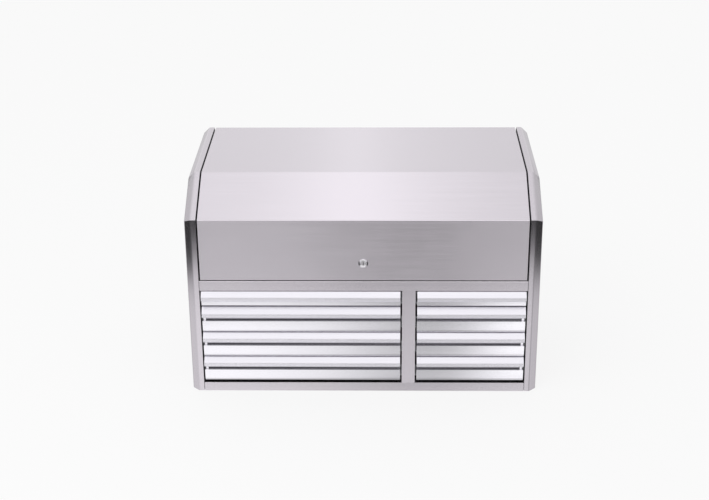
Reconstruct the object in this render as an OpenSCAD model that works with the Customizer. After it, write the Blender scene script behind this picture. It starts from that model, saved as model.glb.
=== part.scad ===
// Stainless-steel tool chest that stands on a bench or a roller cabinet.
// Two banks of four drawers sit under a till that a hinged lid closes.
// Millimetres. Z is up, the front faces -Y, the origin is the middle of the base.

/* [Case] */
// Width over the end panels
chest_width = 1041; // [980:1:1150]
// Depth from the front posts to the back panel
chest_depth = 565; // [545:1:620]
// Thickness of the folded sheets
sheet = 1.2; // [1:0.1:1.4]
// Width of each end post seen from the front
post_width = 36; // [34:1:44]
// Bevel along the outer edge of the end panels
edge_bevel = 20; // [15:1:24]
// Radius of the two bends beside the bevel
bevel_bend = 10; // [4:1:14]
// Gap between the posts and the lid or drawers
reveal = 5; // [4:0.5:6]

/* [Front] */
// Height of the bottom rail
bottom_rail_height = 28; // [25:1:34]
// Height taken by a shallow top drawer
shallow_pitch = 54; // [52:0.5:58]
// Height taken by each deeper drawer
deep_pitch = 81.5; // [80:0.5:90]
// Height of the top rail
top_rail_height = 32; // [28:1:36]
// Depth of both rails, front to back
rail_depth = 30; // [28:1:36]
// Width of the post between the drawer banks
centre_post_width = 39; // [34:1:48]
// Distance of that post's middle to the right of the chest's middle
centre_post_offset = 134; // [90:1:170]

/* [Lid] */
// Height of the lid's upright front with the gap below it
lid_front_height = 193; // [180:1:210]
// Horizontal run of the lid's slope
slope_run = 157; // [130:1:180]
// Rise of the lid's slope
slope_rise = 89.5; // [80:0.5:100]
// Gap between the top rail and the lid
lid_gap = 3; // [2:0.5:4]
// Radius of the bends of the lid and of the shallow fronts
sheet_bend = 3; // [2:0.5:4]
// Width of the folds along the lid's edges
lid_fold = 15; // [12:1:18]
// Depth of the hinge line below the lid's top
hinge_drop = 31; // [28:1:36]

/* [Hinge] */
// Radius of the hinge knuckles
knuckle_radius = 4; // [3.5:0.1:4.4]
// Radius of the hinge pin
hinge_pin_radius = 2; // [1.6:0.1:2.2]
// Number of knuckles on the two leaves together
knuckle_count = 23; // [15:2:27]
// Height of each hinge leaf
leaf_height = 24; // [20:1:26]
// Radial clearance of pins and plugs in their bores
running_fit = 0.05; // [0.03:0.01:0.08]

/* [Drawers] */
// Gap between a pull's top and the front or rail above it
pull_gap = 1.2; // [1:0.1:2]
// Gap under a shallow front
shallow_gap = 5.5; // [5:0.5:7]
// Gap between the lowest fronts and the bottom rail
bottom_gap = 8; // [6:0.5:10]
// Depth of a drawer front with its folds
front_depth = 14; // [13:1:18]
// Radius of the bend along a front's lower edge
front_bend = 2; // [1.8:0.1:3]
// Height of the strip along a deep front's lower edge that leans back
front_hem = 9; // [8:0.5:10]
// Distance that this strip leans back
hem_lean = 2; // [1.5:0.1:2.5]
// Distance of a deep front's upper edge below its pull's top, which leaves a finger groove
front_drop = 44.5; // [43:0.5:46]
// Distance of a shallow front's upper edge below its pull's top
shallow_front_drop = 32; // [31.5:0.5:33]
// Thickness of the trays' sheet
tray_sheet = 1; // [0.9:0.1:1.2]
// Width of the inward fold along a tray's rim
tray_rim = 6; // [4:1:8]
// Height of a shallow tray's sides
shallow_side = 34; // [32:1:36]
// Height of a deep tray's sides
deep_side = 64; // [56:1:66]
// Distance that a pull's nose stands out from the drawer front
pull_reach = 15; // [14:0.5:16]
// Distance that a pull's level top runs past the drawer front
pull_flat = 1; // [0.5:0.5:2]
// Angle of a pull's sloping top, down from level
pull_slope = 45; // [43:1:47]
// Height of a pull's nose
pull_drop = 28.5; // [28:0.5:29]
// Length of the lip under a pull's nose
pull_lip = 6; // [5.5:0.5:7]
// Radius of a pull's bends
pull_bend = 5; // [4:0.5:6]
// Extra height of the second row's pulls, whose tops show under the shallow fronts
pull_rise = 3.5; // [3:0.5:4]
// Gap between the leg that fastens a pull to the tray and the front below it
leg_gap = 1.5; // [1:0.5:2]
// Distance that a pull ends short of the front below it
pull_inset = 0.5; // [0.4:0.1:1]
// Width of the strap between a deep front and its pull
strap_width = 7; // [6:0.5:8]
// Wall of the pull extrusion
pull_wall = 2.2; // [2:0.1:2.5]

/* [Slides] */
// Height of a telescopic slide
slide_height = 36; // [34:1:38]
// Thickness of a telescopic slide, wall to tray
slide_width = 12.7; // [12:0.1:13.5]
// Sheet of the slide members
slide_sheet = 1.2; // [1:0.1:1.3]
// Play between slide members
slide_play = 0.4; // [0.3:0.05:0.5]

/* [Lock] */
// Height of the lock above the top rail
lock_height = 57.5; // [50:0.5:62]
// Radius of the lock's bezel
bezel_radius = 14; // [12.5:0.5:16]
// Radius of the lock's barrel
barrel_radius = 10; // [9.5:0.1:11]
// Radius of the turning plug
plug_radius = 7.5; // [7:0.1:8]

/* [Struts] */
// Distance of a strut's lid pivot in front of the hinge line
strut_lid_reach = 100; // [90:1:110]
// Distance of a strut's lid pivot below the hinge line
strut_lid_drop = 6; // [4:1:10]
// Distance of a strut's wall pivot in front of the hinge line
strut_wall_reach = 50; // [40:1:60]
// Distance of a strut's wall pivot below the hinge line
strut_wall_drop = 200; // [190:1:210]
// Radius of a strut's tube
strut_tube_radius = 9; // [8:0.5:10]
// Radius of a strut's rod
strut_rod_radius = 4; // [3.5:0.1:4.5]
// Radius of the studs that carry the struts
strut_stud_radius = 4; // [3.5:0.1:4.5]

/* [Hidden] */
$fn = 64;
half_width = chest_width / 2;
front_y = -chest_depth / 2;
back_y = chest_depth / 2;
post_inner = half_width - post_width;
wall_face = post_inner - sheet;
bay_low = bottom_rail_height;
row_count = 4;
bay_high = bay_low + bottom_gap + shallow_pitch + (row_count - 1) * deep_pitch;
rail_top = bay_high + top_rail_height;
crease_z = rail_top + lid_front_height;
top_z = crease_z + slope_rise;
crease_y = front_y + slope_run;
slope_angle = atan2(slope_rise, slope_run);

lid_half = post_inner - reveal;
lid_low = rail_top + lid_gap;
hinge_y = back_y - sheet - knuckle_radius;
hinge_z = top_z - hinge_drop;
hinge_clear = knuckle_radius + 0.5;
hinge_half = lid_half - 12;
knuckle_pitch = 2 * hinge_half / knuckle_count;
knuckle_gap = 0.4;

wall_inset = 3;
end_lip = 14;
till_z = bay_high + top_rail_height / 2;
flange_height = 15;
pan_flange = 20;

tray_y = front_y + front_depth;
tray_depth = chest_depth - front_depth - 51;
tray_lift = 5;
strap_inset = pull_inset + pull_wall + 0.5;
strap_y = front_y + hem_lean + 3.5;
slide_y = tray_y + 6;
slide_length = tray_depth - 20;
slide_reach = 9;

lock_z = rail_top + lock_height;
barrel_length = 20;
bezel_depth = 5;
cam_width = 14;
cam_sheet = 3;
cam_reach = lock_height + 8.5;
strike_slot = [-12, 46];

strut_x = wall_face - 19;
lug_width = 6;
lug_radius = 8;
strut_bracket_gap = 0.5;
bracket_sheet = 2;
lid_pivot = [hinge_y - strut_lid_reach, hinge_z - strut_lid_drop];
wall_pivot = [hinge_y - strut_wall_reach, hinge_z - strut_wall_drop];
strut_run = lid_pivot - wall_pivot;
strut_length = norm(strut_run);
strut_lean = atan2(strut_run[1], strut_run[0]);
strut_tube_end = strut_length - 26;

steel = [0.78, 0.78, 0.79];
bright = [0.9, 0.9, 0.91];
black = [0.1, 0.1, 0.11];
zinc = [0.7, 0.71, 0.73];

banks = ["left", "right"];
pieces = ["tray", "front", "pull", "runners", "mid_slides"];
case_nodes = [
    "left_end_panel", "right_end_panel", "inner_walls", "back_panel", "base_pan",
    "till_floor", "top_rail", "bottom_rail", "centre_partition", "centre_post",
    "cabinet_slides", "hinge_body_leaf", "strut_studs",
];
lid_nodes = [
    "lid_shell", "lid_stiffeners", "hinge_lid_leaf", "lock_housing", "lock_core",
    "strut_tubes", "strut_rods",
];
drawer_nodes = [
    for (bank = [0, 1], row = [0 : row_count - 1], piece = pieces)
        str(banks[bank], "_drawer_", row + 1, "_", piece)
];

// Side profile of the chest, drawn as depth and height and moved inward by an inset.
function rise_corner(inset) =
    [front_y + inset, crease_z - inset * (1 - sin(slope_angle)) / cos(slope_angle)];
function top_corner(inset) =
    [crease_y + inset * (1 - cos(slope_angle)) / sin(slope_angle), top_z - inset];
function lid_path(inset, front_low, rear_low) = [
    [front_y + inset, front_low],
    rise_corner(inset),
    top_corner(inset),
    [back_y - inset, top_z - inset],
    [back_y - inset, rear_low],
];
function reversed(list) = [for (i = [len(list) - 1 : -1 : 0]) list[i]];

// Points of a bend of the given radius at the middle one of three points.
function unit(v) = v / norm(v);
function bend(before, corner, after, radius, steps = 6) =
    let (
        u = unit(before - corner),
        v = unit(after - corner),
        half = acos(u * v) / 2,
        centre = corner + unit(u + v) * radius / sin(half),
        first = corner + u * radius / tan(half) - centre,
        last = corner + v * radius / tan(half) - centre,
        start = atan2(first[1], first[0]),
        turn = (atan2(last[1], last[0]) - start + 540) % 360 - 180
    )
    [for (i = [0 : steps]) centre + radius * [cos(start + turn * i / steps), sin(start + turn * i / steps)]];

// Bends the three inner corners of a path of five points.
function bent_path(path, radius) = concat(
    [path[0]],
    [for (i = [1 : 3]) each bend(path[i - 1], path[i], path[i + 1], radius)],
    [path[4]]
);

// Puts a drawing of depth and height between two places along X.
module along_x(from, to) {
    translate([from, 0, 0])
        rotate([90, 0, 90])
            linear_extrude(to - from)
                children();
}

// Puts a drawing of X and height between two depths.
module along_y(from, to) {
    translate([0, to, 0])
        rotate([90, 0, 0])
            linear_extrude(to - from)
                children();
}

module both_sides() {
    children();
    mirror([1, 0, 0]) children();
}

module side_profile(inset) {
    polygon(lid_path(inset, inset, inset));
}

// Block between two corners.
module block(low, high) {
    translate(low) cube(high - low);
}

// Cylinder along X.
module rod_x(from, to, y, z, radius) {
    translate([from, y, z])
        rotate([0, 90, 0])
            cylinder(h = to - from, r = radius);
}

// Solid through loops of as many points each, one after another.
module loft(loops) {
    count = len(loops[0]);
    last = len(loops) - 1;
    polyhedron(
        points = [for (loop = loops) each loop],
        faces = concat(
            [[for (i = [count - 1 : -1 : 0]) i]],
            [for (k = [0 : last - 1], i = [0 : count - 1])
                let (next = (i + 1) % count)
                [k * count + i, k * count + next, (k + 1) * count + next, (k + 1) * count + i]],
            [[for (i = [0 : count - 1]) last * count + i]]
        )
    );
}

// Edge of an end panel from its side to its face: distance from the side, and depth behind the face.
function edge_points(inset, width) =
    let (
        cut = edge_bevel + inset * (sqrt(2) - 1),
        side_end = [inset, 2 * cut],
        side_corner = [inset, cut],
        face_corner = [cut, inset],
        face_end = [width, inset],
        radius = bevel_bend - inset
    )
    concat(
        bend(side_end, side_corner, face_corner, radius),
        bend(side_corner, face_corner, face_end, radius),
        [face_end]
    );

// Side profile whose front, slope and top lie that deep, at one distance from the outer side.
function end_loop(across, depth, inset) =
    let (
        rear = back_y - inset,
        profile = [
            [front_y + depth, inset],
            rise_corner(depth),
            top_corner(depth),
            [rear, top_z - depth],
            [rear, inset],
        ]
    )
    [for (p = profile) [across - half_width, p[0], p[1]]];

// Solid left end block with the bevelled edge mitred round its front, slope and top.
module end_block(inset, width) {
    loft([for (p = edge_points(inset, width)) end_loop(p[0], p[1], inset)]);
}

module end_panel() {
    difference() {
        end_block(0, post_width);
        end_block(sheet, post_width - sheet);
        along_x(-post_inner - 2 * sheet, -post_inner + 1) side_profile(end_lip);
    }
}

module left_end_panel() {
    color(steel) end_panel();
}

module right_end_panel() {
    color(steel) mirror([1, 0, 0]) end_panel();
}

module inner_walls() {
    color(black)
        both_sides()
            along_x(-post_inner, -wall_face) side_profile(wall_inset);
}

// Flat back with pressed half-round beads that stiffen it.
module back_panel() {
    bead_radius = 8;
    bead_margin = 45;
    post_left = centre_post_offset - centre_post_width / 2;
    post_right = centre_post_offset + centre_post_width / 2;
    spans = [
        [-post_inner + bead_margin, post_left - bead_margin],
        [post_right + bead_margin, post_inner - bead_margin],
    ];
    heights = [for (share = [0.2, 0.5, 0.8]) share * rail_top];
    color(black)
        difference() {
            union() {
                block([-post_inner, back_y - sheet, 0], [post_inner, back_y, hinge_z - hinge_clear]);
                intersection() {
                    block([-post_inner, back_y - 2 * bead_radius, 0], [post_inner, back_y, rail_top]);
                    for (span = spans, z = heights)
                        rod_x(span[0], span[1], back_y, z, bead_radius);
                }
            }
            for (span = spans, z = heights)
                rod_x(span[0] + sheet, span[1] - sheet, back_y, z, bead_radius - sheet);
        }
}

module base_pan() {
    rear = back_y - sheet;
    color(black) {
        block([-wall_face, front_y + sheet, 0], [wall_face, rear, sheet]);
        both_sides()
            block([-wall_face, front_y + rail_depth, 0], [-wall_face + sheet, rear, pan_flange]);
        block([-wall_face, rear - sheet, 0], [wall_face, rear, pan_flange]);
    }
}

module till_floor() {
    front = front_y + rail_depth;
    rear = back_y - sheet;
    color(black) {
        block([-wall_face, front, till_z], [wall_face, rear, till_z + sheet]);
        block([-wall_face, front, bay_high], [wall_face, front + sheet, rail_top]);
        both_sides()
            block([-wall_face, front, till_z - flange_height], [-wall_face + sheet, rear, till_z + sheet]);
        block([-wall_face, rear - sheet, till_z - flange_height], [wall_face, rear, till_z + sheet]);
    }
}

// Folded channel, open at the back, with a slot in its top for the lock cam.
module top_rail() {
    slot_front = front_y + barrel_length - 2;
    color(steel)
        difference() {
            block([-wall_face, front_y, bay_high], [wall_face, front_y + rail_depth, rail_top]);
            block(
                [-half_width, front_y + sheet, bay_high + sheet],
                [half_width, back_y, rail_top - sheet]
            );
            block(
                [strike_slot[0], slot_front, rail_top - 2 * sheet],
                [strike_slot[1], slot_front + cam_sheet + 6, rail_top + 1]
            );
        }
}

module bottom_rail() {
    color(steel)
        difference() {
            block([-wall_face, front_y, 0], [wall_face, front_y + rail_depth, bay_low]);
            block(
                [-half_width, front_y + sheet, -1],
                [half_width, front_y + rail_depth - sheet, bay_low - sheet]
            );
            block([-half_width, front_y + sheet, -1], [half_width, back_y, sheet]);
        }
}

// Upright channel, open at the back or closed there by a web.
module upright(front, rear, low, high, web) {
    left = centre_post_offset - centre_post_width / 2;
    right = centre_post_offset + centre_post_width / 2;
    hollow_front = web ? front - 1 : front + sheet;
    hollow_rear = web ? rear - sheet : rear + 1;
    difference() {
        block([left, front, low], [right, rear, high]);
        block([left + sheet, hollow_front, low - 1], [right - sheet, hollow_rear, high + 1]);
    }
}

module centre_partition() {
    color(black)
        upright(front_y + rail_depth + 2, back_y - 2 * sheet, sheet, till_z, true);
}

module centre_post() {
    color(steel)
        upright(front_y, front_y + rail_depth + 2, bay_low, bay_high, false);
}

// Drawer places: a bank is 0 for left and 1 for right, rows count from the top.
function row_high(row) = row == 0 ? bay_high : bay_high - shallow_pitch - (row - 1) * deep_pitch;
function row_low(row) = bay_high - shallow_pitch - row * deep_pitch;
function bank_walls(bank) = bank == 0
    ? [-wall_face, centre_post_offset - centre_post_width / 2]
    : [centre_post_offset + centre_post_width / 2, wall_face];
function bank_front(bank) = bank == 0
    ? [-lid_half, centre_post_offset - centre_post_width / 2 - reveal]
    : [centre_post_offset + centre_post_width / 2 + reveal, lid_half];
function side_height(row) = row == 0 ? shallow_side : deep_side;
function pull_top(row) = row_high(row) - pull_gap;
function front_high(row) = pull_top(row) - (row == 0 ? shallow_front_drop : front_drop);
function top_rise(row) = row == 1 ? pull_rise : 0;
function leg_drop(row) = (row == 0 ? shallow_front_drop : front_drop) - leg_gap;
function front_low(row) = row_low(row) + (row == 0 ? shallow_gap : 0);
function slide_z(row) = row_low(row) + tray_lift + (row == 0 ? shallow_side : slide_height + 4) / 2;

// Channel section of a slide member, with its web at the near or the far side.
module channel(near, far, half, web_near) {
    hollow = web_near ? near + slide_sheet : near - 1;
    difference() {
        translate([near, -half]) square([far - near, 2 * half]);
        translate([hollow, slide_sheet - half])
            square([far - near - slide_sheet + 1, 2 * (half - slide_sheet)]);
    }
}

// The three nested members of a slide: 0 is on the wall, 1 between, 2 on the tray.
module slide_section(member) {
    step = slide_sheet + slide_play;
    half = slide_height / 2 - member * step;
    if (member == 0) channel(0, slide_reach, half, true);
    if (member == 1) channel(step, slide_width - step, half, true);
    if (member == 2) channel(2 * step, slide_width, half, false);
}

module slide_pair(bank, row, member) {
    walls = bank_walls(bank);
    for (side = [0, 1])
        translate([walls[side], 0, slide_z(row)])
            mirror([side, 0, 0])
                along_y(slide_y, slide_y + slide_length) slide_section(member);
}

module cabinet_slides() {
    color(zinc)
        for (bank = [0, 1], row = [0 : row_count - 1]) slide_pair(bank, row, 0);
}

module mid_slides(bank, row) {
    color(zinc) slide_pair(bank, row, 1);
}

module runners(bank, row) {
    color(zinc) slide_pair(bank, row, 2);
}

// Open sheet tray with its rim folded inward on three sides.
module tray(bank, row) {
    walls = bank_walls(bank);
    low = [walls[0] + slide_width, tray_y, row_low(row) + tray_lift];
    high = [walls[1] - slide_width, tray_y + tray_depth, low[2] + side_height(row)];
    wall = [tray_sheet, tray_sheet, tray_sheet];
    rim = tray_sheet + tray_rim;
    color(black)
        difference() {
            block(low, high);
            block(low + wall, high - wall);
            block(
                [low[0] + rim, low[1] + tray_sheet, low[2] + tray_sheet],
                [high[0] - rim, high[1] - rim, high[2] + 1]
            );
        }
}

// Section of a drawer front as depth and height, moved inward by an inset.
module front_section(row, inset) {
    face = front_y + inset;
    rear = tray_y - inset;
    low = front_low(row) + inset;
    high = front_high(row) - inset;
    hem_top = row == 0 ? high : front_low(row) + front_hem;
    lean = row == 0 ? 0 : hem_lean;
    polygon(concat(
        [[rear, low], [rear, high], [face, high]],
        row == 0 ? [] : [[face, hem_top]],
        bend([face, hem_top], [face + lean, low], [rear, low], front_bend - inset)
    ));
}

// Stainless front, a shallow folded pan that is open at the back. A strap at a deep front's outer end
// reaches up to the pull.
module front(bank, row) {
    ends = bank_front(bank);
    low = front_low(row);
    high = front_high(row);
    lip = min(front_depth - 2, (high - low) / 3);
    strap_x = bank == 0 ? ends[0] + strap_inset : ends[1] - strap_inset - strap_width;
    strap_high = pull_top(row) + top_rise(row) - pull_wall;
    color(steel) {
        difference() {
            along_x(ends[0], ends[1]) front_section(row, 0);
            along_x(ends[0] + sheet, ends[1] - sheet) front_section(row, sheet);
            block([ends[0] + lip, front_y + sheet, low + lip], [ends[1] - lip, tray_y + 1, high - lip]);
        }
        if (row > 0)
            block([strap_x, strap_y, high - sheet], [strap_x + strap_width, strap_y + sheet, strap_high]);
    }
}

// Points around a pull, outward from the front and up from its gap line: top plate, slope, nose and lip.
function pull_path(row, inset) =
    let (
        rise = top_rise(row),
        nose_drop = (pull_reach - pull_flat) * tan(pull_slope)
    )
    [
        [inset - front_depth, rise - inset],
        [pull_flat - rise / tan(pull_slope) - inset * tan(pull_slope / 2), rise - inset],
        [pull_reach - inset, -nose_drop - inset * tan(45 - pull_slope / 2)],
        [pull_reach - inset, inset - pull_drop],
        [pull_reach - pull_lip - (inset > 0 ? 0 : 3), inset - pull_drop],
    ];

module pull_body(row) {
    foot = -leg_drop(row);
    polygon(concat(
        [[-front_depth, foot]],
        bent_path(pull_path(row, 0), pull_bend),
        [[3 - front_depth, -pull_drop - 1], [3 - front_depth, foot]]
    ));
}

module pull_hollow(row) {
    below = -leg_drop(row) - 1;
    polygon(concat(
        [[pull_wall - front_depth, below]],
        bent_path(pull_path(row, pull_wall), pull_bend - pull_wall),
        [[pull_reach - pull_lip, below]]
    ));
}

// Runs a section of the pull along the drawer front.
module pull_run(bank, row, inset) {
    ends = bank_front(bank);
    translate([0, front_y, pull_top(row)])
        along_x(ends[0] + pull_inset + inset, ends[1] - pull_inset - inset)
            mirror([1, 0]) children();
}

// Pull, hollow behind its nose and open below, with closed ends.
module pull(bank, row) {
    color(bright)
        difference() {
            pull_run(bank, row, 0) pull_body(row);
            pull_run(bank, row, pull_wall) pull_hollow(row);
        }
}

// Lid: a folded shell with flanges at its ends and along its front edge.
module lid_ring(depth) {
    rear_low = hinge_z + hinge_clear;
    inner = lid_path(depth, lid_low, rear_low);
    inner_bend = sheet_bend - depth;
    polygon(concat(
        bent_path(lid_path(0, lid_low, rear_low), sheet_bend),
        reversed(inner_bend > 0 ? bent_path(inner, inner_bend) : inner)
    ));
}

module lid_shell() {
    color(steel)
        difference() {
            union() {
                along_x(-lid_half, lid_half) lid_ring(sheet);
                both_sides()
                    along_x(-lid_half, -lid_half + sheet) lid_ring(lid_fold);
                block([-lid_half, front_y, lid_low], [lid_half, front_y + lid_fold, lid_low + sheet]);
            }
            translate([0, front_y - 1, lock_z])
                rotate([-90, 0, 0])
                    cylinder(h = sheet + 2, r = barrel_radius + running_fit);
        }
}

// Hat-section rib under the lid's top.
module lid_rib(y) {
    under = top_z - sheet;
    half = hinge_half - 30;
    depth = 14;
    width = 40;
    foot = 14;
    block([-half, y - width / 2, under - depth], [half, y + width / 2, under - depth + sheet]);
    for (side = [-1, 1]) {
        edge = y + side * (width - sheet) / 2;
        block([-half, edge - sheet / 2, under - depth], [half, edge + sheet / 2, under]);
        outer = edge + side * foot / 2;
        block([-half, outer - foot / 2, under - sheet], [half, outer + foot / 2, under]);
    }
}

// Plate that hangs from the lid beside a strut's upper end.
module strut_bracket() {
    under = top_z - sheet;
    face = -strut_x + lug_width / 2 + strut_bracket_gap + 4;
    reach = 22;
    block([face, lid_pivot[0] - reach, under - bracket_sheet], [face + reach, lid_pivot[0] + reach, under]);
    block(
        [face, lid_pivot[0] - reach / 2, lid_pivot[1]],
        [face + bracket_sheet, lid_pivot[0] + reach / 2, under]
    );
    rod_x(face, face + bracket_sheet, lid_pivot[0], lid_pivot[1], reach / 2);
}

module lid_stiffeners() {
    color(black) {
        lid_rib(crease_y + 70);
        lid_rib(lid_pivot[0] - 70);
        both_sides() strut_bracket();
    }
}

// Hinge: knuckles alternate between the body leaf and the lid leaf.
module knuckles(first, lid_side) {
    reach = lid_side ? hinge_clear : -hinge_clear;
    leaf_y = back_y - 2 * sheet;
    difference() {
        for (i = [first : 2 : knuckle_count - 1]) {
            low = -hinge_half + i * knuckle_pitch + knuckle_gap / 2;
            high = low + knuckle_pitch - knuckle_gap;
            rod_x(low, high, hinge_y, hinge_z, knuckle_radius);
            block([low, leaf_y, hinge_z + min(0, reach)], [high, leaf_y + sheet, hinge_z + max(0, reach)]);
        }
        rod_x(-half_width, half_width, hinge_y, hinge_z, hinge_pin_radius + running_fit);
    }
}

module hinge_body_leaf() {
    leaf_y = back_y - 2 * sheet;
    color(zinc) {
        knuckles(0, false);
        block(
            [-hinge_half, leaf_y, hinge_z - leaf_height],
            [hinge_half, leaf_y + sheet, hinge_z - hinge_clear]
        );
        rod_x(-hinge_half, hinge_half, hinge_y, hinge_z, hinge_pin_radius);
    }
}

module hinge_lid_leaf() {
    leaf_y = back_y - 2 * sheet;
    color(zinc) {
        knuckles(1, true);
        block(
            [-hinge_half, leaf_y, hinge_z + hinge_clear],
            [hinge_half, leaf_y + sheet, hinge_z + leaf_height]
        );
    }
}

// Draws a lock piece turned round the lock's axis: radius, and depth behind the lid's face.
module lock_turned() {
    translate([0, front_y, lock_z])
        rotate([-90, 0, 0])
            rotate_extrude()
                children();
}

module lock_housing() {
    bore = plug_radius + running_fit;
    rim = 2;
    nut_radius = bezel_radius;
    color(bright)
        lock_turned() {
            polygon([
                [bore, -bezel_depth + rim],
                [bore + rim, -bezel_depth],
                [bezel_radius - rim, -bezel_depth],
                [bezel_radius, -rim],
                [bezel_radius, 0],
                [barrel_radius, 0],
                [barrel_radius, sheet],
                [nut_radius, sheet],
                [nut_radius, sheet + 4],
                [barrel_radius, sheet + 4],
                [barrel_radius, barrel_length],
                [bore, barrel_length],
            ]);
        }
}

// Plug with its key slot, and the cam on the plug's rear end.
module lock_core() {
    face = 3 - bezel_depth;
    slot = [2.2, 9];
    cam_y = front_y + barrel_length + 0.3;
    color(bright) {
        difference() {
            lock_turned()
                translate([0, face]) square([plug_radius, barrel_length + 0.3 - face]);
            block(
                [-slot[0] / 2, front_y + face - 1, lock_z - slot[1] / 2],
                [slot[0] / 2, front_y + face + 6, lock_z + slot[1] / 2]
            );
        }
        block([0, cam_y, lock_z - cam_width / 2], [cam_reach, cam_y + cam_sheet, lock_z + cam_width / 2]);
        translate([0, cam_y, lock_z])
            rotate([-90, 0, 0])
                cylinder(h = cam_sheet, r = plug_radius + 2);
        translate([0, cam_y + cam_sheet, lock_z])
            rotate([-90, 0, 0])
                cylinder(h = 2.5, r = plug_radius - 2);
    }
}

// Struts: each stands between a stud on the inner wall and a bracket under the lid.
module strut_studs() {
    plate_radius = 13;
    plate = 2;
    color(zinc)
        both_sides() {
            rod_x(-wall_face, -wall_face + plate, wall_pivot[0], wall_pivot[1], plate_radius);
            rod_x(-wall_face, -strut_x + lug_width / 2 + 2, wall_pivot[0], wall_pivot[1], strut_stud_radius);
        }
}

// Places a strut piece drawn upward from the wall stud.
module on_strut() {
    translate([-strut_x, wall_pivot[0], wall_pivot[1]])
        rotate([strut_lean - 90, 0, 0])
            children();
}

module strut_tubes() {
    lug_end = lug_radius + 6;
    color(black)
        both_sides()
            on_strut()
                difference() {
                    union() {
                        translate([0, 0, lug_end])
                            cylinder(h = strut_tube_end - lug_end, r = strut_tube_radius);
                        rod_x(-lug_width / 2, lug_width / 2, 0, 0, lug_radius);
                        block([-lug_width / 2, -lug_radius, 0], [lug_width / 2, lug_radius, lug_end + 2]);
                    }
                    rod_x(-lug_width, lug_width, 0, 0, strut_stud_radius + running_fit);
                    translate([0, 0, lug_end + 10])
                        cylinder(h = strut_length, r = strut_rod_radius + running_fit);
                }
}

module strut_rods() {
    rod_start = lug_radius + 18;
    color(bright)
        both_sides()
            on_strut() {
                translate([0, 0, rod_start])
                    cylinder(h = strut_length - rod_start - lug_radius + 2, r = strut_rod_radius);
                rod_x(-lug_width / 2, lug_width / 2, 0, strut_length, lug_radius);
                rod_x(-lug_width / 2, lug_width / 2 + 4, 0, strut_length, strut_stud_radius);
            }
}

module drawer_piece(bank, row, piece) {
    if (piece == "tray") tray(bank, row);
    if (piece == "front") front(bank, row);
    if (piece == "pull") pull(bank, row);
    if (piece == "runners") runners(bank, row);
    if (piece == "mid_slides") mid_slides(bank, row);
}

left_end_panel();
right_end_panel();
inner_walls();
back_panel();
base_pan();
till_floor();
top_rail();
bottom_rail();
centre_partition();
centre_post();
cabinet_slides();
hinge_body_leaf();
strut_studs();
lid_shell();
lid_stiffeners();
hinge_lid_leaf();
lock_housing();
lock_core();
strut_tubes();
strut_rods();
for (bank = [0, 1], row = [0 : row_count - 1], piece = pieces)
    drawer_piece(bank, row, piece);
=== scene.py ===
import math

import bpy
from mathutils import Matrix, Vector


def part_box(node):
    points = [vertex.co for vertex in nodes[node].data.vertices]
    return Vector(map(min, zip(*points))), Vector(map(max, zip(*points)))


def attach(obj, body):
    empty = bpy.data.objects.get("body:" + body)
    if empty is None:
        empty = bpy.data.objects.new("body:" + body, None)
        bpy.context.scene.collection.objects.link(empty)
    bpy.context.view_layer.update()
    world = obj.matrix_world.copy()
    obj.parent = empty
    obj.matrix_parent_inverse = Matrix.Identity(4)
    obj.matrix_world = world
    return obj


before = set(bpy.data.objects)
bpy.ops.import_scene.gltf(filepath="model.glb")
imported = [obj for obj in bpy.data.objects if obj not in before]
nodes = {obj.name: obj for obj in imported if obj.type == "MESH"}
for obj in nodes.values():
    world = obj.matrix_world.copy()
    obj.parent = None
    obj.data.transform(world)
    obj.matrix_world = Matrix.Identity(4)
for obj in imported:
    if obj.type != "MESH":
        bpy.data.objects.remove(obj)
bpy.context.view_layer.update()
scene = bpy.context.scene
scene.view_settings.view_transform = "Standard"

# Grain directions, by their place in AXES
X, Z = 0, 2
AXES = (Vector((1, 0, 0)), Vector((0, 1, 0)), Vector((0, 0, 1)))
BANKS = ("left", "right")
ROWS = (1, 2, 3, 4)


# Shader nodes

def add_node(tree, kind, inputs=None, **settings):
    """Adds a shader node. An input is a plain value or another node's output."""
    node = tree.nodes.new(kind)
    for name, value in settings.items():
        setattr(node, name, value)
    for name, value in (inputs or {}).items():
        if isinstance(value, bpy.types.NodeSocket):
            tree.links.new(value, node.inputs[name])
        else:
            node.inputs[name].default_value = value
    return node


def new_material(name):
    """A material with its tree, its shader and the object's own coordinates."""
    material = bpy.data.materials.new(name)
    material.use_nodes = True
    tree = material.node_tree
    place = add_node(tree, "ShaderNodeTexCoord").outputs["Object"]
    return material, tree, tree.nodes["Principled BSDF"], place


def noise(tree, place, scale, detail=3.0, roughness=0.5):
    """Noise whose cells per metre are given for each axis."""
    spread = add_node(tree, "ShaderNodeMapping", {"Vector": place, "Scale": scale})
    made = add_node(
        tree, "ShaderNodeTexNoise",
        {"Vector": spread.outputs["Vector"], "Scale": 1.0, "Detail": detail, "Roughness": roughness},
    )
    return made.outputs["Fac"]


def spread_to(tree, value, low, high, from_low=0.3, from_high=0.7):
    """Maps a noise value to the range between two values."""
    made = add_node(
        tree, "ShaderNodeMapRange",
        {"Value": value, "From Min": from_low, "From Max": from_high, "To Min": low, "To Max": high},
    )
    return made.outputs["Result"]


def maths(tree, operation, first, second):
    """Result of a maths node on two values or sockets."""
    return add_node(tree, "ShaderNodeMath", {0: first, 1: second}, operation=operation).outputs[0]


def without_sign(tree, value):
    return maths(tree, "ABSOLUTE", value, 0.0)


def blend_colours(tree, share, first, second):
    """Mix of two colours, each a plain colour or another node's output."""
    sides = [c if isinstance(c, bpy.types.NodeSocket) else (*c, 1.0) for c in (first, second)]
    made = add_node(tree, "ShaderNodeMix", {0: share, 6: sides[0], 7: sides[1]}, data_type="RGBA")
    return made.outputs[2]


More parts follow.
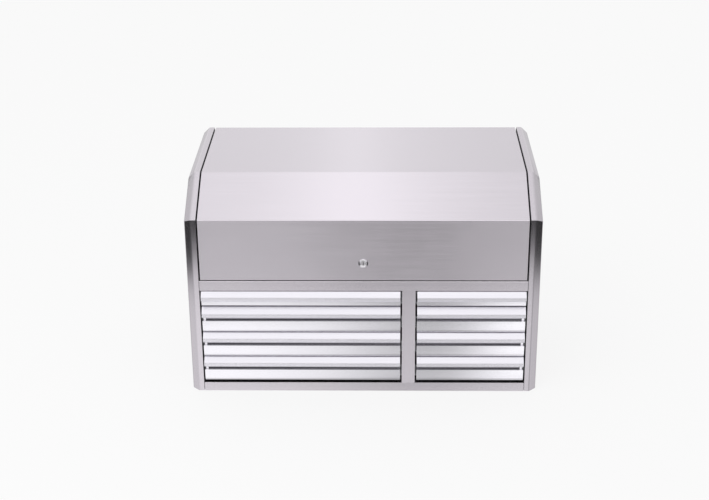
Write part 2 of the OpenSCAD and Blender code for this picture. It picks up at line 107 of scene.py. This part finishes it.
def edge_share(tree, radius):
    """Near 0 on flat places and above 0 along edges."""
    rounded = add_node(tree, "ShaderNodeBevel", {"Radius": radius}, samples=4)
    plain = add_node(tree, "ShaderNodeNewGeometry")
    dot = add_node(
        tree, "ShaderNodeVectorMath",
        {0: rounded.outputs["Normal"], 1: plain.outputs["Normal"]}, operation="DOT_PRODUCT",
    )
    return spread_to(tree, dot.outputs["Value"], 1.0, 0.0, 0.75, 0.99)


def tone_ramp(tree, value, stops):
    """Grey tones at given values between -1 and 1."""
    made = add_node(tree, "ShaderNodeValToRGB", {"Fac": spread_to(tree, value, 0.0, 1.0, -1.0, 1.0)})
    elements = made.color_ramp.elements
    while len(elements) < len(stops):
        elements.new(0.5)
    for element, (height, tone) in zip(elements, stops):
        element.position = (height + 1) / 2
        element.color = grey(tone)
    return made.outputs["Color"]


def bend_share(tree):
    """1 on bends between upright and sloping sheet, by the way that the surface faces; the mask of a
    painted highlight.
    """
    facing = add_node(tree, "ShaderNodeTexCoord").outputs["Normal"]
    height = add_node(tree, "ShaderNodeSeparateXYZ", {"Vector": facing}).outputs["Z"]
    above = spread_to(tree, height, 0.0, 1.0, 0.08, 0.25)
    below = spread_to(tree, height, 1.0, 0.0, 0.62, 0.80)
    return maths(tree, "MULTIPLY", above, below)


def grey(tone):
    return (tone, tone, tone, 1.0)


def shaded(colour, factor):
    """The colour times a factor, at most white."""
    return tuple(min(1.0, c * factor) for c in colour)


# Materials

# Cells per metre of a brushed grain, across it and along it
FINE_GRAIN = (1400.0, 9.0)
BROAD_GRAIN = (160.0, 2.5)
# Tones of brushed metal, as factors of its colour: its streaks, its worn edges with the painted highlight,
# and the painted shade
DARK_STREAK, BRIGHT_STREAK = 0.96, 1.03
WEAR_AND_HIGHLIGHT, DEPTH_SHADE = 1.25, 0.36
# How much of the worn and highlighted tone an edge takes, and how wide it is worn
EDGE_WEAR = 0.4
EDGE_WIDTH = 0.0012
# Lengths over which the painted highlight above a height and the painted shade behind a depth begin
HIGHLIGHT_FADE = 0.0008
SHADE_FADE = 0.002
# Changes in roughness along the streaks and over the smudges
STREAK_GLOSS = 0.018
SMUDGE_GLOSS = 0.01


def grain_noise(tree, place, grain, cells, detail):
    """Noise drawn out along one axis."""
    scale = [cells[0]] * 3
    scale[grain] = cells[1]
    return noise(tree, place, scale, detail)


def brushed_metal(
    name, colour, roughness, grain, anisotropy, grain_depth,
    highlight_bends=False, highlight_above=None, shade_behind=None,
):
    """Metal with a grain along one axis: streaks in colour, gloss and height, and edges rubbed bright.

    Its bends and what lies above a given height can take a painted highlight,
    and what lies behind a given depth can take painted shade.
    """
    material, tree, shader, place = new_material(name)
    fine = grain_noise(tree, place, grain, FINE_GRAIN, 4.0)
    broad = grain_noise(tree, place, grain, BROAD_GRAIN, 2.0)
    smudge = noise(tree, place, (7.0, 7.0, 7.0), 4.0, 0.6)
    streaks = maths(tree, "ADD", maths(tree, "MULTIPLY", fine, 0.6), maths(tree, "MULTIPLY", broad, 0.4))
    tone = maths(tree, "ADD", maths(tree, "MULTIPLY", streaks, 0.8), maths(tree, "MULTIPLY", smudge, 0.2))
    tint = blend_colours(
        tree, spread_to(tree, tone, 0.0, 1.0), shaded(colour, DARK_STREAK), shaded(colour, BRIGHT_STREAK),
    )
    worn_and_highlit = maths(tree, "MULTIPLY", edge_share(tree, EDGE_WIDTH), EDGE_WEAR)
    # Painted highlight on the bends and above a given height, in the worn edges' lighter tone
    if highlight_bends:
        worn_and_highlit = maths(tree, "MAXIMUM", worn_and_highlit, bend_share(tree))
    axes = add_node(tree, "ShaderNodeSeparateXYZ", {"Vector": place}).outputs
    if highlight_above is not None:
        lightened = spread_to(tree, axes["Z"], 0.0, 1.0, highlight_above, highlight_above + HIGHLIGHT_FADE)
        worn_and_highlit = maths(tree, "MAXIMUM", worn_and_highlit, lightened)
    edged = blend_colours(tree, worn_and_highlit, tint, shaded(colour, WEAR_AND_HIGHLIGHT))
    # Painted shade behind a given depth, where recesses and gaps fall in shade
    if shade_behind is not None:
        inside = spread_to(tree, axes["Y"], 0.0, 1.0, shade_behind - SHADE_FADE, shade_behind)
        edged = blend_colours(tree, inside, edged, shaded(colour, DEPTH_SHADE))
    gloss = maths(
        tree, "ADD",
        spread_to(tree, streaks, roughness - STREAK_GLOSS, roughness + STREAK_GLOSS),
        spread_to(tree, smudge, -SMUDGE_GLOSS, SMUDGE_GLOSS),
    )
    bump = add_node(
        tree, "ShaderNodeBump", {"Height": fine, "Strength": grain_depth, "Distance": 0.0003},
    )
    geometry = add_node(tree, "ShaderNodeNewGeometry")
    across = add_node(
        tree, "ShaderNodeVectorMath",
        {0: geometry.outputs["Normal"], 1: AXES[grain]}, operation="CROSS_PRODUCT",
    )
    shader.inputs["Metallic"].default_value = 1.0
    shader.inputs["Anisotropic"].default_value = anisotropy
    tree.links.new(edged, shader.inputs["Base Color"])
    tree.links.new(gloss, shader.inputs["Roughness"])
    tree.links.new(bump.outputs["Normal"], shader.inputs["Normal"])
    tree.links.new(across.outputs["Vector"], shader.inputs["Tangent"])
    return material


def powder_coat(name, colour, roughness):
    """Painted sheet with a faint orange peel, dust and edges rubbed to the metal."""
    material, tree, shader, place = new_material(name)
    peel = noise(tree, place, (700.0, 700.0, 700.0), 2.0)
    dust = noise(tree, place, (12.0, 12.0, 12.0), 5.0, 0.65)
    tint = blend_colours(tree, spread_to(tree, dust, 0.0, 1.0), shaded(colour, 0.88), shaded(colour, 1.25))
    lightened = maths(tree, "MULTIPLY", edge_share(tree, 0.0008), spread_to(tree, dust, 0.0, 0.35))
    edged = blend_colours(tree, lightened, tint, (0.3, 0.3, 0.31))
    bump = add_node(tree, "ShaderNodeBump", {"Height": peel, "Strength": 0.12, "Distance": 0.0004})
    tree.links.new(edged, shader.inputs["Base Color"])
    tree.links.new(spread_to(tree, dust, roughness - 0.06, roughness + 0.08), shader.inputs["Roughness"])
    tree.links.new(bump.outputs["Normal"], shader.inputs["Normal"])
    return material


def lock_painted_shade(tree, place, stops):
    """Share of painted shade by the distance from the lock's axis, most at its sides, and full in the key
    slot.
    """
    low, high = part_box("lock_housing")
    offset = add_node(
        tree, "ShaderNodeVectorMath", {0: place, 1: (low + high) / 2}, operation="SUBTRACT",
    ).outputs["Vector"]
    flat = add_node(
        tree, "ShaderNodeVectorMath", {0: offset, 1: (1, 0, 1)}, operation="MULTIPLY",
    ).outputs["Vector"]
    away = add_node(tree, "ShaderNodeVectorMath", {0: flat}, operation="LENGTH").outputs["Value"]
    axes = add_node(tree, "ShaderNodeSeparateXYZ", {"Vector": flat}).outputs
    aside = without_sign(tree, axes["X"])
    by_side = spread_to(tree, maths(tree, "DIVIDE", aside, away), 0.0, 1.0, 0.82, 0.96)
    by_radius = tone_ramp(tree, maths(tree, "DIVIDE", away, (high.x - low.x) / 2), stops)
    ring = maths(tree, "MULTIPLY", by_radius, by_side)
    beside = maths(tree, "LESS_THAN", aside, KEY_SLOT[0] / 2 + SLOT_MARGIN)
    along = maths(tree, "LESS_THAN", without_sign(tree, axes["Z"]), KEY_SLOT[1] / 2 + SLOT_MARGIN)
    return maths(tree, "MAXIMUM", ring, maths(tree, "MULTIPLY", beside, along))


def plated_metal(name, colour, roughness, mottle, shade_stops=None):
    """Smooth plated metal with a mottled tone and fine scratches, and painted shade at a lock's sides, in
    its seams and in its key slot.
    """
    material, tree, shader, place = new_material(name)
    cloud = noise(tree, place, (mottle, mottle, mottle), 5.0, 0.6)
    scratch = noise(tree, place, (60.0, 900.0, 900.0), 3.0)
    tint = blend_colours(tree, spread_to(tree, cloud, 0.0, 1.0), shaded(colour, 0.88), shaded(colour, 1.06))
    if shade_stops:
        # Painted shade: the lock turns near black at its sides, in its seams and in its key slot
        tint = blend_colours(tree, lock_painted_shade(tree, place, shade_stops), tint, (0.02, 0.02, 0.02))
    gloss = maths(
        tree, "ADD", spread_to(tree, cloud, roughness - 0.04, roughness + 0.05),
        spread_to(tree, scratch, -0.02, 0.03),
    )
    bump = add_node(tree, "ShaderNodeBump", {"Height": scratch, "Strength": 0.05, "Distance": 0.0002})
    shader.inputs["Metallic"].default_value = 1.0
    tree.links.new(tint, shader.inputs["Base Color"])
    tree.links.new(gloss, shader.inputs["Roughness"])
    tree.links.new(bump.outputs["Normal"], shader.inputs["Normal"])
    return material


def rubber(name, colour, roughness):
    """Dull rubber with a pebbled skin."""
    material, tree, shader, place = new_material(name)
    pebble = noise(tree, place, (900.0, 900.0, 900.0), 3.0)
    dust = noise(tree, place, (15.0, 15.0, 15.0), 4.0, 0.6)
    tint = blend_colours(tree, spread_to(tree, dust, 0.0, 1.0), shaded(colour, 0.8), shaded(colour, 1.3))
    bump = add_node(tree, "ShaderNodeBump", {"Height": pebble, "Strength": 0.25, "Distance": 0.0004})
    tree.links.new(tint, shader.inputs["Base Color"])
    tree.links.new(spread_to(tree, dust, roughness - 0.05, roughness + 0.08), shader.inputs["Roughness"])
    tree.links.new(bump.outputs["Normal"], shader.inputs["Normal"])
    return material


# Painted shade on the lock by the distance from its axis, as a share of the bezel's radius
BEZEL_SHADE = ((0.0, 0.9), (0.54, 0.9), (0.60, 0.0), (0.68, 0.0), (0.78, 0.95), (1.0, 1.0))
PLUG_SHADE = ((0.0, 0.0), (0.46, 0.05), (0.53, 0.9), (0.60, 0.0), (1.0, 0.0))
# Width and height of the key slot, and how far its painted shade spreads
KEY_SLOT = (0.0022, 0.009)
SLOT_MARGIN = 0.0001
# Height above which the top rail's edge takes a painted highlight
RAIL_EDGE = 0.3632
# Depths behind which the centre post's folds and the pulls' finger grooves take painted shade
FOLD_BACK = -0.2780
PULL_BACK = -0.2725

STEEL = (0.70, 0.66, 0.71)
lid_steel = brushed_metal(
    "lid_steel", STEEL,
    roughness=0.23, grain=X, anisotropy=0.72, grain_depth=0.045, highlight_bends=True,
)
# rail_steel, end_steel and post_steel are lighter and darker copies of the lid's STEEL: painted light and
# shade
rail_steel = brushed_metal(
    "rail_steel", shaded(STEEL, 1.08),
    roughness=0.23, grain=X, anisotropy=0.65, grain_depth=0.06, highlight_bends=True, highlight_above=RAIL_EDGE,
)
end_steel = brushed_metal(
    "end_steel", shaded(STEEL, 0.92),
    roughness=0.14, grain=Z, anisotropy=0.9, grain_depth=0.04,
)
post_steel = brushed_metal(
    "post_steel", shaded(STEEL, 0.98),
    roughness=0.22, grain=Z, anisotropy=0.7, grain_depth=0.06, shade_behind=FOLD_BACK,
)
front_steel = brushed_metal(
    "front_steel", (0.875, 0.86, 0.91),
    roughness=0.13, grain=X, anisotropy=0.5, grain_depth=0.05,
)
pull_metal = brushed_metal(
    "pull_metal", (0.93, 0.91, 0.98),
    roughness=0.25, grain=X, anisotropy=0.5, grain_depth=0.03, shade_behind=PULL_BACK,
)
black_paint = powder_coat("black_paint", (0.03, 0.03, 0.033), roughness=0.45)
zinc = plated_metal("zinc_plate", (0.62, 0.64, 0.66), roughness=0.34, mottle=60.0)
chrome = plated_metal("chrome", (0.80, 0.80, 0.81), roughness=0.12, mottle=90.0)
# bezel_chrome and plug_chrome are lighter copies of chrome: painted light
bezel_chrome = plated_metal(
    "bezel_chrome", (0.92, 0.90, 0.94), roughness=0.10, mottle=90.0, shade_stops=BEZEL_SHADE,
)
plug_chrome = plated_metal(
    "plug_chrome", (0.90, 0.88, 0.92), roughness=0.14, mottle=90.0, shade_stops=PLUG_SHADE,
)
mat_rubber = rubber("mat_rubber", (0.035, 0.035, 0.037), roughness=0.75)

NODE_MATERIALS = {
    "left_end_panel": end_steel,
    "right_end_panel": end_steel,
    "centre_post": post_steel,
    "top_rail": rail_steel,
    "bottom_rail": rail_steel,
    "lid_shell": lid_steel,
    "cabinet_slides": zinc,
    "hinge_body_leaf": zinc,
    "hinge_lid_leaf": zinc,
    "strut_studs": zinc,
    "lock_housing": bezel_chrome,
    "lock_core": plug_chrome,
    "strut_rods": chrome,
}
DRAWER_MATERIALS = {
    "tray": black_paint,
    "front": front_steel,
    "pull": pull_metal,
    "runners": zinc,
    "mid_slides": zinc,
}


# CAD nodes

def material_of(name):
    """Material of a node. What is inside the case is painted black."""
    if name in NODE_MATERIALS:
        return NODE_MATERIALS[name]
    for piece, material in DRAWER_MATERIALS.items():
        if "_drawer_" in name and name.endswith(piece):
            return material
    return black_paint


EDGE_RADIUS = 0.0004
EDGE_ANGLE = math.radians(24)
WELD_DISTANCE = 0.000005

for name, node in nodes.items():
    node.data.materials.clear()
    node.data.materials.append(material_of(name))
    weld = node.modifiers.new("weld", "WELD")
    weld.merge_threshold = WELD_DISTANCE
    bevel = node.modifiers.new("soft_edges", "BEVEL")
    bevel.width = EDGE_RADIUS
    bevel.segments = 2
    bevel.limit_method = "ANGLE"
    bevel.angle_limit = EDGE_ANGLE
    bevel.use_clamp_overlap = True
    node.modifiers.new("even_normals", "WEIGHTED_NORMAL")


# Trim: mats, rivets and screws

SHEET = 0.0012
TRAY_SHEET = 0.001
MAT_MARGIN = 0.0015
# Depth of the case's back face, and height of the hinge's knuckles
BACK = 0.2825
KNUCKLE = 0.009
RIVET_RADIUS, RIVET_HEIGHT = 0.0034, 0.0011
SCREW_RADIUS, SCREW_HEIGHT = 0.0036, 0.0016


def add_piece(name, body, vertices, faces, material):
    """A mesh that rides on one of the part's bodies."""
    mesh = bpy.data.meshes.new(name)
    mesh.from_pydata(vertices, [], faces)
    mesh.update()
    mesh.materials.append(material)
    piece = bpy.data.objects.new(name, mesh)
    scene.collection.objects.link(piece)
    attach(piece, body)
    return piece


def add_mat(name, body, low, high, floor):
    """Ribbed rubber mat on a floor, between two corners."""
    base, rib, pitch = 0.0016, 0.0009, 0.008
    lift = 0.0002
    y_from, y_to = low.y + MAT_MARGIN, high.y - MAT_MARGIN
    count = int((y_to - y_from) / pitch)
    step = (y_to - y_from) / count
    outline = [(y_from, floor + lift)]
    for i in range(count):
        start = y_from + i * step
        outline += [(start, floor + base), (start + 0.2 * step, floor + base + rib)]
        outline += [(start + 0.6 * step, floor + base + rib), (start + 0.8 * step, floor + base)]
    outline += [(y_to, floor + base), (y_to, floor + lift)]
    size = len(outline)
    vertices = [(x, y, z) for x in (low.x + MAT_MARGIN, high.x - MAT_MARGIN) for y, z in outline]
    faces = [(i, (i + 1) % size, size + (i + 1) % size, size + i) for i in range(size)]
    faces += [tuple(reversed(range(size))), tuple(range(size, 2 * size))]
    add_piece(name, body, vertices, faces, mat_rubber)


# Outlines of the heads, from the rim to the middle, as shares of radius and height
RIVET_HEAD = ((1.0, 0.0), (0.95, 0.45), (0.72, 0.82), (0.35, 0.97), (0.0, 1.0))
SCREW_HEAD = ((1.0, 0.0), (1.0, 0.55), (0.88, 0.85), (0.6, 1.0), (0.38, 0.98), (0.30, 0.35), (0.0, 0.30))


def add_heads(name, body, heads, profile, radius, height):
    """Turned heads, each given by its place and the way it faces."""
    sides = 16
    vertices, faces = [], []
    for place, facing in heads:
        turn = Vector(facing).to_track_quat("Z", "Y")
        first = len(vertices)
        for across, up in profile:
            for i in range(sides):
                angle = 2 * math.pi * i / sides
                reach = across * radius
                point = Vector((reach * math.cos(angle), reach * math.sin(angle), up * height))
                vertices.append(Vector(place) + turn @ point)
        for ring in range(len(profile) - 1):
            for i in range(sides):
                a, b = first + ring * sides + i, first + ring * sides + (i + 1) % sides
                faces.append((a, b, b + sides, a + sides))
    piece = add_piece(name, body, vertices, faces, zinc)
    for face in piece.data.polygons:
        face.use_smooth = True
    piece.modifiers.new("weld", "WELD").merge_threshold = WELD_DISTANCE


def spaced(low, high, count):
    """Even places from one value to another."""
    return [low + (high - low) * i / (count - 1) for i in range(count)]


def dress_drawer(bank, row):
    """Mat on the tray's floor, rivets through its front wall and its sides."""
    body = f"{bank}_drawer_{row}"
    low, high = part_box(body + "_tray")
    wall = Vector((TRAY_SHEET, TRAY_SHEET, 0))
    add_mat(body + "_mat", body, low + wall, high - wall, low.z + TRAY_SHEET)
    shallow = row == 1
    columns = 5 if bank == "left" else 3
    from_side, from_front, from_rear = 0.04, 0.05, 0.06
    lower_row = low.z + (0.0145 if shallow else 0.025)
    upper_row = high.z - 0.008
    side_row = low.z + (0.017 if shallow else 0.020)
    heads = [
        ((x, low.y + TRAY_SHEET, z), (0, 1, 0))
        for x in spaced(low.x + from_side, high.x - from_side, columns) for z in (lower_row, upper_row)
    ]
    for y in spaced(low.y + from_front, high.y - from_rear, 3):
        heads.append(((low.x + TRAY_SHEET, y, side_row), (1, 0, 0)))
        heads.append(((high.x - TRAY_SHEET, y, side_row), (-1, 0, 0)))
    add_heads(body + "_rivets", body, heads, RIVET_HEAD, RIVET_RADIUS, RIVET_HEIGHT)


def dress_leaf(node, body):
    """A row of screws along a hinge leaf."""
    low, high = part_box(node)
    away_from_knuckle = -KNUCKLE if body == "case" else KNUCKLE
    z = (low.z + high.z + away_from_knuckle) / 2
    face = BACK - 2 * SHEET
    count, from_end = 11, 0.03
    heads = [((x, face, z), (0, -1, 0)) for x in spaced(low.x + from_end, high.x - from_end, count)]
    add_heads(node + "_screws", body, heads, SCREW_HEAD, SCREW_RADIUS, SCREW_HEIGHT)


for bank in BANKS:
    for row in ROWS:
        dress_drawer(bank, row)
dress_leaf("hinge_body_leaf", "case")
dress_leaf("hinge_lid_leaf", "lid")
till_low, till_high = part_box("till_floor")
till_wall = Vector((SHEET, SHEET, 0))
till_top = (till_low.z + till_high.z) / 2 + SHEET
add_mat("till_mat", "case", till_low + till_wall, till_high - till_wall, till_top)


# Studio

FLOOR_WHITE = 0.975
FLOOR_GREY = 0.85
# Share of the floor's tone that doesn't depend on the light, so that the rest keeps the shadow
FLOOR_GLOW = 0.85
BACKDROP_WHITE = 0.948


def make_floor():
    """White floor that keeps the object's shadow. Reflections show the studio's own pale ground instead."""
    mesh = bpy.data.meshes.new("floor")
    half = 12.0
    mesh.from_pydata(
        [(-half, -half, 0), (half, -half, 0), (half, half, 0), (-half, half, 0)], [], [(0, 1, 2, 3)],
    )
    floor = bpy.data.objects.new("floor", mesh)
    scene.collection.objects.link(floor)
    floor.visible_glossy = False
    material = bpy.data.materials.new("floor_white")
    material.use_nodes = True
    tree = material.node_tree
    tree.nodes.remove(tree.nodes["Principled BSDF"])
    path = add_node(tree, "ShaderNodeLightPath")
    shows = maths(tree, "MAXIMUM", path.outputs["Is Camera Ray"], path.outputs["Is Glossy Ray"])
    shows = maths(tree, "MAXIMUM", shows, path.outputs["Is Transmission Ray"])
    plain = add_node(tree, "ShaderNodeBsdfDiffuse", {"Color": grey(FLOOR_GREY)})
    lit = add_node(tree, "ShaderNodeEmission", {"Color": grey(FLOOR_WHITE), "Strength": 1.0})
    mixed = add_node(
        tree, "ShaderNodeMixShader",
        {0: maths(tree, "MULTIPLY", shows, FLOOR_GLOW), 1: plain.outputs[0], 2: lit.outputs[0]},
    )
    tree.links.new(mixed.outputs[0], tree.nodes["Material Output"].inputs["Surface"])
    mesh.materials.append(material)


# Tones of the studio by height: pale ground, a dark gap at its edge, soft boxes above
FRONT_TONES = (
    (-1.0, 0.60), (-0.70, 0.60), (-0.60, 0.95), (-0.44, 1.00), (-0.41, 0.95), (-0.396, 0.03),
    (-0.32, 0.03), (-0.26, 0.74), (0.0, 0.88), (0.2, 0.88), (0.45, 0.815), (1.0, 0.98),
)
SIDE_TONES = (
    (-1.0, 0.66), (-0.70, 0.70), (-0.60, 0.82), (-0.44, 0.82), (-0.41, 0.80), (-0.396, 0.03),
    (-0.33, 0.04), (-0.25, 0.40), (-0.05, 0.56), (0.2, 0.62), (0.5, 0.83), (1.0, 0.92),
)
# Tones by height without the dark gap, toward the studio's corners and low behind
CORNER_TONES = ((-1.0, 0.62), (-0.5, 0.58), (-0.1, 0.60), (0.2, 0.70), (0.5, 0.84), (1.0, 0.95))
# Tones across the studio, left to right, as shares of SPREAD: the ground in front, and the soft boxes above
SPREAD = 0.2
GROUND_TONES = (
    (-1.0, 0.74), (-0.72, 0.76), (-0.65, 0.88), (-0.30, 0.78), (-0.17, 0.68), (-0.06, 0.575),
    (0.01, 0.48), (0.18, 0.33), (0.25, 0.42), (0.31, 0.56), (0.37, 0.77), (0.42, 1.0),
    (0.51, 1.02), (0.55, 0.70), (0.78, 0.70), (0.88, 0.45), (1.0, 0.45),
)
BOX_TONES = (
    (-1.0, 0.75), (-0.70, 0.75), (-0.40, 0.80), (-0.22, 0.90), (-0.10, 1.25), (0.02, 0.90), (0.10, 0.84),
    (0.30, 0.74), (0.60, 0.66), (1.0, 0.66),
)
# Even tones of the soft box in front and of the wall behind
FRONT_BOX = 0.76
REAR_WALL = 0.80
# Share of that wall in the soft boxes where it shows most
REAR_SHARE = 0.55
STUDIO_STRENGTH = 1.4
# How far the tones by height dip toward the sides
SIDE_DIP = 0.014
# Parts of a direction between which one region of the studio blends into the next
SIDE_RANGE = (0.35, 0.8)
CORNER_RANGE = (0.42, 0.45)
LOW_REAR_DEPTHS, LOW_REAR_HEIGHTS = (0.3, 0.42), (-0.15, -0.03)
GROUND_DEPTHS, GROUND_HEIGHTS = (-0.6, -0.3), (-0.35, 0.0)
BOX_DEPTHS = (-0.35, -0.05)
REAR_DEPTHS = (0.3, 0.7)


def make_world():
    """White behind the object for the camera; a soft studio for everything else."""
    world = bpy.data.worlds.new("studio")
    scene.world = world
    world.use_nodes = True
    tree = world.node_tree
    tree.nodes.clear()
    path = add_node(tree, "ShaderNodeLightPath")
    place = add_node(tree, "ShaderNodeTexCoord").outputs["Generated"]
    axes = add_node(tree, "ShaderNodeSeparateXYZ", {"Vector": place}).outputs
    sideways = without_sign(tree, axes["X"])
    height = maths(tree, "ADD", axes["Z"], maths(tree, "MULTIPLY", sideways, SIDE_DIP))
    surround = blend_colours(
        tree, spread_to(tree, sideways, 0.0, 1.0, *SIDE_RANGE),
        tone_ramp(tree, height, FRONT_TONES), tone_ramp(tree, height, SIDE_TONES),
    )
    cornerwise = without_sign(tree, maths(tree, "MULTIPLY", axes["X"], axes["Y"]))
    low_rear = maths(
        tree, "MULTIPLY", spread_to(tree, axes["Y"], 0.0, 1.0, *LOW_REAR_DEPTHS),
        spread_to(tree, axes["Z"], 1.0, 0.0, *LOW_REAR_HEIGHTS),
    )
    even = maths(tree, "MAXIMUM", spread_to(tree, cornerwise, 0.0, 1.0, *CORNER_RANGE), low_rear)
    surround = blend_colours(tree, even, surround, tone_ramp(tree, height, CORNER_TONES))
    across = maths(tree, "DIVIDE", axes["X"], SPREAD)
    low_front = maths(
        tree, "MULTIPLY", spread_to(tree, axes["Y"], 1.0, 0.0, *GROUND_DEPTHS),
        spread_to(tree, axes["Z"], 1.0, 0.0, *GROUND_HEIGHTS),
    )
    behind = spread_to(tree, axes["Y"], 0.0, 1.0, *BOX_DEPTHS)
    boxes = blend_colours(tree, behind, (FRONT_BOX,) * 3, tone_ramp(tree, across, BOX_TONES))
    rear = spread_to(tree, axes["Y"], 0.0, REAR_SHARE, *REAR_DEPTHS)
    boxes = blend_colours(tree, rear, boxes, (REAR_WALL,) * 3)
    shade = blend_colours(tree, low_front, boxes, tone_ramp(tree, across, GROUND_TONES))
    toned = add_node(tree, "ShaderNodeVectorMath", {0: surround, 1: shade}, operation="MULTIPLY")
    studio = add_node(
        tree, "ShaderNodeBackground", {"Color": toned.outputs["Vector"], "Strength": STUDIO_STRENGTH},
    )
    white = add_node(tree, "ShaderNodeBackground", {"Color": grey(BACKDROP_WHITE), "Strength": 1.0})
    mixed = add_node(
        tree, "ShaderNodeMixShader",
        {0: path.outputs["Is Camera Ray"], 1: studio.outputs[0], 2: white.outputs[0]},
    )
    out = add_node(tree, "ShaderNodeOutputWorld")
    tree.links.new(mixed.outputs[0], out.inputs["Surface"])


def make_softbox(name, place, target, size, power):
    """Area lamp that faces a target."""
    light = bpy.data.lights.new(name, "AREA")
    light.shape = "RECTANGLE"
    light.size, light.size_y = size
    light.energy = power
    lamp = bpy.data.objects.new(name, light)
    scene.collection.objects.link(lamp)
    lamp.location = place
    lamp.rotation_mode = "QUATERNION"
    lamp.rotation_quaternion = (Vector(target) - Vector(place)).to_track_quat("-Z", "Y")
    return lamp


make_floor()
make_world()
key_light = make_softbox(
    "key_light", place=(-1.2, -1.6, 2.6), target=(0.0, 0.0, 0.2), size=(2.0, 1.5), power=18,
)
key_light.visible_glossy = False


# Camera, fitted to the photograph's 709 by 500 frame

PHOTO_WIDTH = 709
FOCAL_PIXELS = 1441
CAMERA_PLACE = Vector((0.059, -4.1145, 2.153))
PITCH, YAW, ROLL = math.radians(23.75), math.radians(-1.256), math.radians(-0.47)

forward = Vector((math.sin(YAW) * math.cos(PITCH), math.cos(YAW) * math.cos(PITCH), -math.sin(PITCH)))
level_right = Vector((math.cos(YAW), -math.sin(YAW), 0))
level_up = level_right.cross(forward)
right = level_right * math.cos(ROLL) + level_up * math.sin(ROLL)
up = level_up * math.cos(ROLL) - level_right * math.sin(ROLL)
lens = bpy.data.cameras.new("camera")
lens.sensor_fit = "HORIZONTAL"
lens.sensor_width = 36
lens.lens = lens.sensor_width * FOCAL_PIXELS / PHOTO_WIDTH
camera = bpy.data.objects.new("camera", lens)
scene.collection.objects.link(camera)
turned = Matrix((right, up, -forward)).transposed().to_4x4()
camera.matrix_world = Matrix.Translation(CAMERA_PLACE) @ turned
scene.camera = camera
